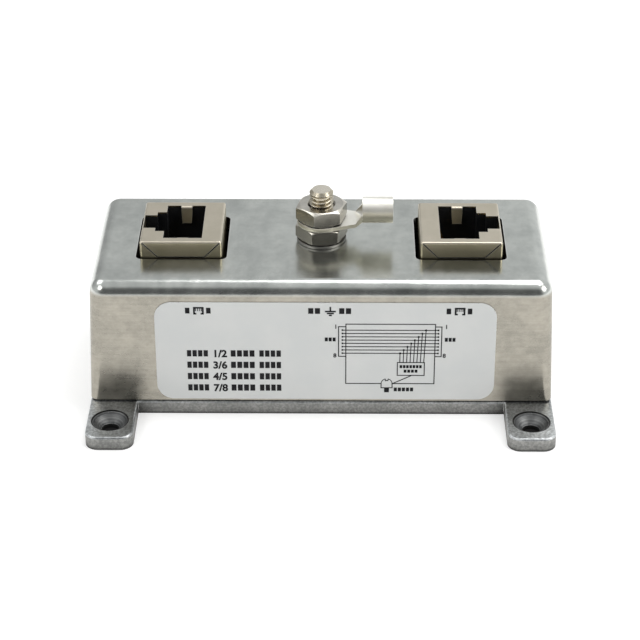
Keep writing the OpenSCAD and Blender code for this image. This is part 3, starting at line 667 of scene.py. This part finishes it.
def make_stud():
    """Stud with a real helical thread, a chamfered tip and its head inside the case."""
    low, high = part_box("ground_stud")
    root = STUD_RADIUS - THREAD_DEPTH
    bottom = low.z + 2.6 * MM
    chamfer_foot = high.z - 0.5 * MM
    core = turned("threaded_stud", [
        (root, bottom), (root, chamfer_foot - 0.5 * MM),
        (STUD_RADIUS - 0.02 * MM, chamfer_foot - 0.12 * MM), (STUD_RADIUS, chamfer_foot),
        (STUD_RADIUS - 0.46 * MM, high.z)], segments=64)
    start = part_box("lower_nut")[0].z
    turns = math.ceil((high.z - start) / THREAD_PITCH) + 2
    bpy.ops.mesh.primitive_circle_add(vertices=4, radius=0.1 * MM, fill_type="NOTHING")
    ridge = name_piece("thread_ridge")
    inner, crest = root - 0.1 * MM, STUD_RADIUS
    profile = [(inner, 0.03), (crest, 0.42), (crest, 0.58), (inner, 0.97)]
    for vert, (radius, share) in zip(ridge.data.vertices, profile):
        vert.co = (radius, 0, start - THREAD_PITCH + share * THREAD_PITCH)
    apply_modifier(ridge, "SCREW", angle=math.tau, screw_offset=THREAD_PITCH, iterations=turns,
                   steps=48, render_steps=48, use_merge_vertices=False, axis="Z")
    edit(ridge, "EDGE")
    bpy.ops.mesh.select_all(action="SELECT")
    bpy.ops.mesh.fill_holes(sides=0)
    done()
    recalculate(ridge)
    combine(core, ridge, "UNION")
    envelope = turned("stud_envelope", [
        (STUD_RADIUS + 0.01 * MM, bottom - 1 * MM), (STUD_RADIUS + 0.01 * MM, chamfer_foot),
        (STUD_RADIUS - 0.45 * MM, high.z)], segments=64)
    combine(core, envelope, "INTERSECT")
    corner = NUT_FLATS / math.sqrt(3)
    head = turned("stud_head", [(corner, low.z), (corner, bottom)], segments=6)
    combine(core, head, "UNION")
    smooth(core, 32)
    return finish_piece(core, TURNED_STEEL, "stud_steel", "ground_stud")


def make_nut(node, name, turn):
    """Hexagon nut with chamfered corners, a countersunk hole and softened edges."""
    low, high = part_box(node)
    corner = NUT_FLATS / math.sqrt(3)
    clear_selection()
    bpy.ops.mesh.primitive_cylinder_add(
        vertices=6, radius=corner, depth=high.z - low.z,
        location=(0, 0, (low.z + high.z) / 2), rotation=(0, 0, turn + math.radians(30)))
    nut = name_piece(name)
    settle(nut)
    wide, narrow = corner + 0.05 * MM, NUT_FLATS / 2 * 0.95
    drop = (wide - narrow) * math.tan(NUT_CHAMFER)
    envelope = turned("nut_envelope", [
        (narrow, low.z), (wide, low.z + drop), (wide, high.z - drop), (narrow, high.z)])
    combine(nut, envelope, "INTERSECT")
    bore, sink = STUD_RADIUS + 0.05 * MM, 0.35 * MM
    past = 0.1 * MM
    hole = turned("nut_hole", [
        (bore + sink + past, low.z - past), (bore, low.z + sink), (bore, high.z - sink),
        (bore + sink + past, high.z + past)])
    combine(nut, hole, "DIFFERENCE")
    soften_edges(nut, 0.11 * MM, segments=3, angle=24)
    smooth(nut, 30)
    return finish_piece(nut, NUT_STEEL, "nut_steel", node)


def make_ring_terminal():
    """Stamped ring whose tongue curls up into the open crimp barrel, with rolled edges."""
    terminal = cad_copy("ring_terminal", "crimp_ring_terminal", dissolve=False)
    soften_edges(terminal, 0.05 * MM)
    smooth(terminal, 40)
    return finish_piece(terminal, TINNED_COPPER, "terminal_tin", "ring_terminal")


def make_washer():
    """Washer with its outer edge eased, under the lower nut."""
    washer = cad_copy("toothed_washer", "tooth_lock_washer")
    soften_edges(washer, 0.06 * MM)
    smooth(washer, 40)
    return finish_piece(washer, SHADED_WASHER_STEEL, "nut_steel", "toothed_washer")


make_stud()
make_nut("upper_nut", "upper_hex_nut", UPPER_NUT_TURN)
make_nut("lower_nut", "lower_hex_nut", LOWER_NUT_TURN)
make_ring_terminal()
make_washer()


# Print on the label

def printed_bar(name, left, right, low, high, height=0.012 * MM):
    """Thin block of ink on the label's plane, from corner to corner in millimetres."""
    clear_selection()
    bpy.ops.mesh.primitive_cube_add(
        size=1, location=((left + right) / 2 * MM, (low + high) / 2 * MM, height / 2),
        scale=((right - left) * MM, (high - low) * MM, height))
    bar = name_piece(name)
    settle(bar)
    return bar


def printed_words(name, left, right, foot, height=1.35, letters=4):
    """Row of solid letter-sized blocks in place of a word, in millimetres."""
    step = (right - left) / letters
    blocks = []
    for place in range(letters):
        start = left + place * step
        blocks.append(printed_bar(f"{name}_{place}", start, start + 0.78 * step, foot, foot + height))
    return blocks


def printed_line(name, start, end, width=0.17):
    """Straight line of ink between two points of the label, in millimetres."""
    run = Vector(end) - Vector(start)
    line = printed_bar(name, -width / 2, run.length + width / 2, -width / 2, width / 2)
    line.rotation_euler.z = math.atan2(run.y, run.x)
    line.location = (start[0] * MM, start[1] * MM, 0)
    settle(line)
    return line


def printed_dot(name, x, y, radius):
    """Round dot of ink at a point of the label, in millimetres."""
    clear_selection()
    bpy.ops.mesh.primitive_cylinder_add(vertices=16, radius=radius * MM, depth=0.014 * MM,
                                        location=(x * MM, y * MM, 0.007 * MM))
    return name_piece(name)


def printed_number(name, text, x, y, height, bold=0.0):
    """Plain digits, their lower left corner at a point of the label, in millimetres."""
    clear_selection()
    bpy.ops.object.text_add(location=(x * MM, y * MM, 0))
    digits = bpy.context.object
    digits.data.body = text
    digits.data.size = height / 0.73 * MM
    digits.data.extrude = 0.006 * MM
    digits.data.offset = bold * MM
    digits.data.resolution_u = 4
    bpy.ops.object.convert(target="MESH")
    return name_piece(name)


def printed_socket(name, x, y, size=1.45):
    """Pictogram of a jack: an open-topped frame with its latch step and contacts."""
    half = size * 0.62
    pen = 0.3
    marks = [
        printed_bar(name + "_left", x - half, x - half + pen, y, y + size),
        printed_bar(name + "_right", x + half - pen, x + half, y, y + size),
        printed_bar(name + "_top", x - half, x + half, y + size - pen, y + size),
        printed_bar(name + "_foot_left", x - half, x - half * 0.4, y, y + pen),
        printed_bar(name + "_foot_right", x + half * 0.4, x + half, y, y + pen),
    ]
    for place in range(4):
        left, right = (x + (place - 1.5) * half * 0.36 + edge for edge in (-0.07, 0.07))
        marks.append(printed_bar(f"{name}_contact_{place}", left, right, y + size * 0.45, y + size - pen))
    return marks


def printed_earth(name, x, y, size=1.5):
    """Earth symbol: an upright on three bars that get shorter downwards."""
    pen = 0.28
    marks = [printed_bar(name + "_stem", x - pen / 2, x + pen / 2, y + size * 0.5, y + size)]
    for step, share in enumerate((0.62, 0.4, 0.18)):
        level, reach = y + size * (0.5 - 0.25 * step), size * share
        marks.append(printed_bar(f"{name}_bar_{step}", x - reach, x + reach, level - pen, level))
    return marks


def print_headings():
    """Marks under the jacks and the stud: jack pictograms and the earth symbol between blocks."""
    marks = []
    for side, left, right in (("left", -23.75, -19.2), ("right", 20.5, 25.05)):
        middle = (left + right) / 2
        marks += printed_socket(f"{side}_jack_mark", middle, 17.05)
        for end, low, high in (("a", left, middle - 1.3), ("b", middle + 1.3, right)):
            marks += printed_words(f"{side}_heading_{end}", low, high, 17.25, 1.1, 1)
    marks += printed_earth("earth_mark", 0.85, 17.1)
    marks += printed_words("earth_heading_a", -2.9, -0.65, 17.25, 1.1, 2)
    marks += printed_words("earth_heading_b", 2.35, 4.6, 17.25, 1.1, 2)
    return marks


def print_pair_rows():
    """Four rows that number the wire pairs, with blocks in place of words."""
    marks = []
    for row, pair in enumerate(WIRE_PAIRS):
        foot = 8.75 - 2.27 * row
        for part, (left, right) in enumerate(((-23.7, -19.9), (-16.2, -11.9), (-11.3, -7.4))):
            marks += printed_words(f"row_{row}_word_{part}", left, right, foot + 0.08, 1.24)
        marks.append(printed_number(f"row_{row}_pair", pair.replace("_", "/"), -19.3, foot, 1.4, 0.07))
    return marks


def print_diagram():
    """Circuit diagram: two connectors joined by eight lines, each tapped down to one block and to earth."""
    frame_left, frame_right, frame_top, frame_foot = 3.5, 18.7, 15.27, 3.55
    line_top, line_step = 14.1, 0.647
    block_left, block_right, block_top, block_foot = 12.35, 16.97, 7.76, 5.2
    left_jack, right_jack = (2.25, 14.77, 8.95), (19.8, 14.77, 8.95)
    screw_x = 10.55
    marks = [
        printed_line("frame_top", (frame_left, frame_top), (frame_right, frame_top)),
        printed_line("frame_left", (frame_left, frame_top), (frame_left, frame_foot)),
        printed_line("frame_right", (frame_right, frame_top), (frame_right, frame_foot)),
        printed_line("frame_foot_left", (frame_left, frame_foot), (screw_x - 1.0, frame_foot)),
        printed_line("frame_foot_right", (screw_x + 1.0, frame_foot), (frame_right, frame_foot)),
        printed_line(
            "tap_to_earth", ((block_left + block_right) / 2 + 0.2, block_foot), (screw_x + 1.0, frame_foot)),
    ]
    jacks = (("left", left_jack, frame_left), ("right", right_jack, frame_right))
    for side, (x, top, foot), inner in jacks:
        marks.append(printed_line(f"{side}_jack_top", (inner, top), (x, top)))
        marks.append(printed_line(f"{side}_jack_side", (x, top), (x, foot)))
        marks.append(printed_line(f"{side}_jack_foot", (x, foot), (inner, foot)))
    for line in range(8):
        y = line_top - line_step * line
        tap_x = 17.13 - 0.624 * line
        foot_x = 16.85 - 0.585 * line
        marks.append(printed_line(f"line_{line + 1}", (2.85, y), (19.3, y), 0.16))
        for end, x in (("a", 2.9), ("b", 19.25)):
            marks.append(printed_bar(
                f"pin_{line + 1}_{end}", x - 0.13, x + 0.13, y - 0.16, y + 0.16, height=0.014 * MM))
        marks.append(printed_dot(f"tap_{line + 1}", tap_x, y, 0.2))
        marks.append(printed_line(f"tap_line_{line + 1}", (tap_x, y), (foot_x, block_top), 0.15))
    block = ((block_left, block_top), (block_right, block_top),
             (block_right, block_foot), (block_left, block_foot))
    for corner in range(4):
        marks.append(printed_line(f"block_{corner}", block[corner], block[(corner + 1) % 4]))
    marks += printed_words("block_word_a", 12.75, 16.65, 6.65, 0.6, 7)
    marks += printed_words("block_word_b", 13.45, 15.95, 5.75, 0.6, 4)
    marks += print_screw_mark(screw_x, frame_foot)
    marks += printed_words("earth_word", 11.8, 15.3, 2.0, 0.75, 5)
    for end, left, right in (("left", -0.1, 1.9), ("right", 20.35, 22.3)):
        marks += printed_words(f"{end}_jack_word", left, right, 11.9, 0.75, 3)
    for name, text, x, y in (("left_1", "1", 1.5, 14.4), ("left_8", "8", 1.35, 8.75),
                             ("right_1", "1", 20.3, 14.4), ("right_8", "8", 20.05, 8.75)):
        marks.append(printed_number(name, text, x, y, 0.8, 0.035))
    return marks


def print_screw_mark(x, y):
    """Pictogram of the earth screw: a slotted round head, its collar and its shank."""
    marks = []
    steps, radius = 10, 0.95
    slot = (steps // 2 - 1, steps // 2)
    for step in range(steps):
        if step in slot:
            continue
        start, end = (
            (x + radius * math.cos(turn), y + radius * math.sin(turn))
            for turn in (math.pi * step / steps, math.pi * (step + 1) / steps))
        marks.append(printed_line(f"screw_head_{step}", start, end, 0.13))
    marks.append(printed_line("screw_slot_left", (x - 0.28, y + 0.9), (x - 0.2, y + 0.6)))
    marks.append(printed_line("screw_slot_right", (x + 0.28, y + 0.9), (x + 0.2, y + 0.6)))
    marks.append(printed_line("screw_slot_foot", (x - 0.2, y + 0.6), (x + 0.2, y + 0.6)))
    collar_foot = y - 0.85
    for side in (-1, 1):
        edge = x + side * radius
        marks.append(printed_line(f"screw_collar_{side}", (edge, y), (edge, collar_foot)))
    marks.append(printed_line("screw_collar_foot", (x - radius, collar_foot), (x + radius, collar_foot)))
    marks.append(printed_bar("screw_shank", x - 0.42, x + 0.42, y - 1.75, collar_foot))
    return marks


def make_label_print():
    """Joins all the printed marks and lays them on the label's face."""
    marks = print_headings() + print_pair_rows() + print_diagram()
    take(marks[0])
    for mark in marks:
        mark.select_set(True)
    bpy.ops.object.join()
    ink = name_piece("label_print")
    face = Matrix.Translation(LABEL_FOOT) @ Matrix.Rotation(math.radians(90) - LABEL_LEAN, 4, "X")
    ink.matrix_world = face @ Matrix.Translation((0, 0, LABEL_FACE)) @ ink.matrix_world
    settle(ink)
    return finish_piece(ink, PRINT_INK, "label_film")


make_label_print()


# Floor, light and camera

def make_floor():
    """Pale floor that keeps the object's shadow and looks white to the camera and in reflections, painted
    dark under the tab holes.
    """
    clear_selection()
    bpy.ops.mesh.primitive_circle_add(vertices=96, radius=4, fill_type="NGON", location=(0, 0, -0.00002))
    floor = name_piece("studio_floor")
    material, tree, shader, place = new_material("studio_floor")
    # Under the tab holes the floor is painted dark and does not glow: painted shade.
    under_sinks = use_group(tree, TURNED_SINKS, Place=place)
    floor_clear_of_painted_shade = remainder(tree, under_sinks.outputs["Mask"])
    colour = mix_colours(tree, floor_clear_of_painted_shade, (0.02, 0.02, 0.02, 1), (0.8, 0.8, 0.8, 1))
    feed(tree, colour, shader.inputs["Base Color"])
    shader.inputs["Roughness"].default_value = 0.9
    shader.inputs["Specular IOR Level"].default_value = 0.0
    seen = put(tree, "LightPath")
    rays = calculate(tree, "MAXIMUM", seen.outputs["Is Glossy Ray"], seen.outputs["Is Transmission Ray"])
    rays = calculate(tree, "MAXIMUM", seen.outputs["Is Camera Ray"], rays)
    strength = multiply(tree, multiply(tree, rays, floor_clear_of_painted_shade), FLOOR_GLOW)
    glow = put(tree, "Emission", Color=(1, 1, 1, 1), Strength=strength)
    both = put(tree, "AddShader")
    tree.links.new(shader.outputs[0], both.inputs[0])
    tree.links.new(glow.outputs[0], both.inputs[1])
    tree.links.new(both.outputs[0], tree.nodes["Material Output"].inputs["Surface"])
    floor.data.materials.append(material)


def make_world():
    """A soft studio: pale all round, lighter behind the object on the right, dim behind the camera."""
    world = bpy.data.worlds.new("studio")
    bpy.context.scene.world = world
    world.use_nodes = True
    tree = world.node_tree
    toward = put(tree, "TexCoord").outputs["Generated"]
    front = put(tree, "VectorMath", {"operation": "DOT_PRODUCT"})
    tree.links.new(toward, front.inputs[0])
    front.inputs[1].default_value = Vector((0, -1, 0.12)).normalized()
    dim = remap(tree, front.outputs["Value"], 0.45, 0.92)
    sides = put(tree, "SeparateXYZ", Vector=toward)
    behind = calculate(tree, "MAXIMUM", sides.outputs["Y"], 0.0)
    lean = multiply(tree, multiply(tree, behind, sides.outputs["X"]), BACK_RIGHT_STRENGTH)
    strength = add(tree, remap(tree, dim, 0, 1, SKY_STRENGTH, FRONT_STRENGTH), lean)
    background = tree.nodes["Background"]
    background.inputs["Color"].default_value = (0.98, 1.0, 1.0, 1)
    tree.links.new(strength, background.inputs["Strength"])


def make_softbox(name, size, centre, target, power, colour=(1, 1, 1)):
    """Square or oblong lamp turned towards a target, its sizes in metres and its power in watts."""
    clear_selection()
    bpy.ops.object.light_add(type="AREA", location=centre)
    lamp = bpy.context.object
    lamp.name = name
    lamp.data.shape = "RECTANGLE"
    lamp.data.size, lamp.data.size_y = size
    lamp.data.energy = power
    lamp.data.color = colour
    lamp.rotation_euler = (Vector(target) - Vector(centre)).to_track_quat("-Z", "Y").to_euler()


def make_camera():
    """Camera at the photograph's viewing angle."""
    pitch, yaw, roll = (math.radians(turn) for turn in (CAMERA_PITCH, CAMERA_YAW, CAMERA_ROLL))
    forward = Vector((math.sin(yaw) * math.cos(pitch), math.cos(yaw) * math.cos(pitch), -math.sin(pitch)))
    right = forward.cross(Vector((0, 0, 1))).normalized()
    up = right.cross(forward)
    across = right * math.cos(roll) + up * math.sin(roll)
    upward = -right * math.sin(roll) + up * math.cos(roll)
    camera = bpy.data.objects.new("camera", bpy.data.cameras.new("camera"))
    bpy.context.scene.collection.objects.link(camera)
    place = Matrix((across, upward, -forward)).transposed().to_4x4()
    place.translation = Vector(CAMERA_PLACE) * MM
    camera.matrix_world = place
    camera.data.sensor_width = 36
    camera.data.lens = CAMERA_LENS
    camera.data.clip_start = 0.01
    bpy.context.scene.camera = camera


make_floor()
make_world()
make_softbox("overhead_softbox", (0.38, 0.28), (0.15, 0.11, 0.5), (0.02, 0, 0.02), 1.1)
make_softbox("left_overhead", (0.3, 0.3), (-0.32, 0.12, 0.5), (-0.02, 0, 0.02), 0.6)
make_softbox("left_fill", (0.3, 0.3), (-0.4, -0.35, 0.45), (0, 0, 0.01), 0.9, WARM_WHITE)
make_softbox("right_fill", (0.3, 0.3), (0.55, -0.22, 0.42), (0, 0, 0.01), 1.6, WARM_WHITE)
make_camera()

bpy.context.scene.view_settings.view_transform = "Standard"
